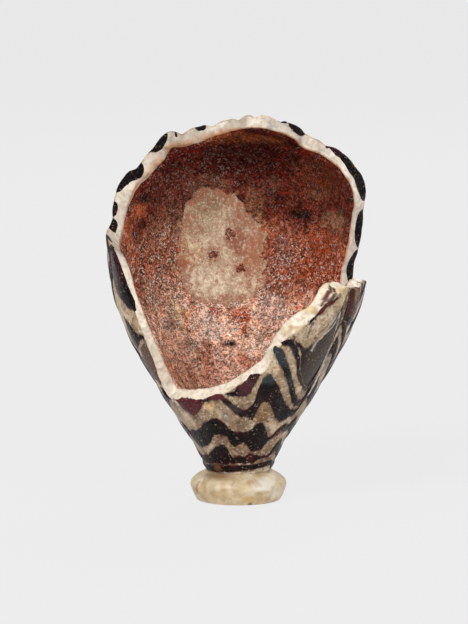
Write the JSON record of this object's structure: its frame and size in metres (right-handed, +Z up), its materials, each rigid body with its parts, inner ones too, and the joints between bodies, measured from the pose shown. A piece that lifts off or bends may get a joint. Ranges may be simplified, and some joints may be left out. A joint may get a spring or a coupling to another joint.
{
  "type": "glass amphoriskos",
  "caption": "Broken core-formed glass flask on a pad foot: ribbed ivory wall with inlaid dark zigzag threads, open front, and clay core residue inside.",
  "frame": {"origin": "centre of the flat underside of the foot, on the vessel's axis", "axes": "+Z up along the vessel's axis, the broken open side faces -Y, +X to the right seen from the front"},
  "size_m": [0.0526, 0.0484, 0.0768],
  "materials": {
    "body_glass": "opaque ivory glass, weathered satin",
    "foot_glass": "cloudy ivory glass, worn satin",
    "thread_glass": "near-black purple glass, worn gloss",
    "core_clay": "rough granular red-brown clay",
    "core_fleck": "rough dark brown clay"
  },
  "bodies": {
    "root": {"body_wall": "body_glass", "foot_pad": "foot_glass", "thread_foot_ring": "thread_glass", "thread_a": "thread_glass", "thread_b": "thread_glass", "thread_c_1": "thread_glass", "thread_c_2": "thread_glass", "thread_d_1": "thread_glass", "thread_d_2": "thread_glass", "thread_e": "thread_glass", "thread_f_1": "thread_glass", "thread_f_2": "thread_glass", "thread_f_3": "thread_glass", "thread_g_1": "thread_glass", "thread_g_2": "thread_glass", "thread_g_3": "thread_glass", "thread_h_1": "thread_glass", "thread_h_2": "thread_glass", "thread_i": "thread_glass", "thread_j": "thread_glass", "thread_k": "thread_glass", "core_residue": "core_clay", "core_fleck_upper": "core_fleck", "core_fleck_middle": "core_fleck", "core_fleck_lower": "core_fleck"}
  },
  "joints": []
}
